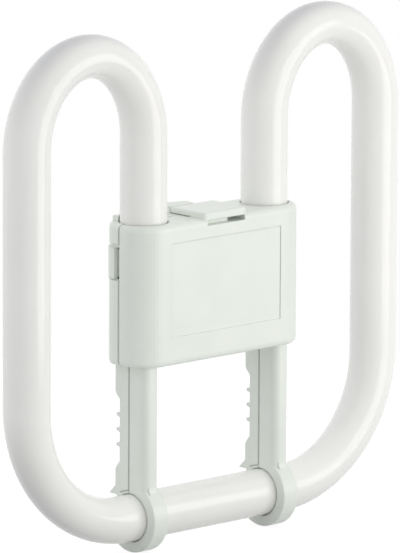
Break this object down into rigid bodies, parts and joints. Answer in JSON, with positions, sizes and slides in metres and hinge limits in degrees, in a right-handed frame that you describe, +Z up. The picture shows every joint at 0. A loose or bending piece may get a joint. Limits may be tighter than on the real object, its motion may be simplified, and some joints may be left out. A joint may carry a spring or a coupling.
{
  "type": "square compact fluorescent lamp",
  "caption": "Flat square compact fluorescent lamp: a bent glass tube held by a moulded cap with arms, rings and contact pins at the back.",
  "frame": {"origin": "middle of the cap's seat: the flat end of the boss that carries the four contact pins", "axes": "+Y out of the seat, along the pins and away from the lamp's front; +Z up towards the two loops; +X to the right seen from the front"},
  "size_m": [0.205, 0.0357, 0.207],
  "materials": {
    "coated_glass": "glossy glass, opaque white phosphor coating inside",
    "moulded_plastic": "satin moulded white thermoplastic",
    "pin_brass": "drawn brass",
    "lead_wire": "nickel-plated wire",
    "wire_sleeving": "woven glass-fibre sleeving",
    "silicone_pad": "soft white silicone"
  },
  "bodies": {
    "root": {"lamp_tube": "coated_glass", "front_cover": "moulded_plastic", "rear_cover": "moulded_plastic", "contact_pin_1": "pin_brass", "contact_pin_2": "pin_brass", "contact_pin_3": "pin_brass", "contact_pin_4": "pin_brass", "lead_wire_1": "lead_wire", "lead_wire_2": "lead_wire", "lead_wire_3": "lead_wire", "lead_wire_4": "lead_wire", "wire_sleeve_1": "wire_sleeving", "wire_sleeve_2": "wire_sleeving", "wire_sleeve_3": "wire_sleeving", "wire_sleeve_4": "wire_sleeving", "tube_cushion_left": "silicone_pad", "tube_cushion_right": "silicone_pad"}
  },
  "joints": []
}
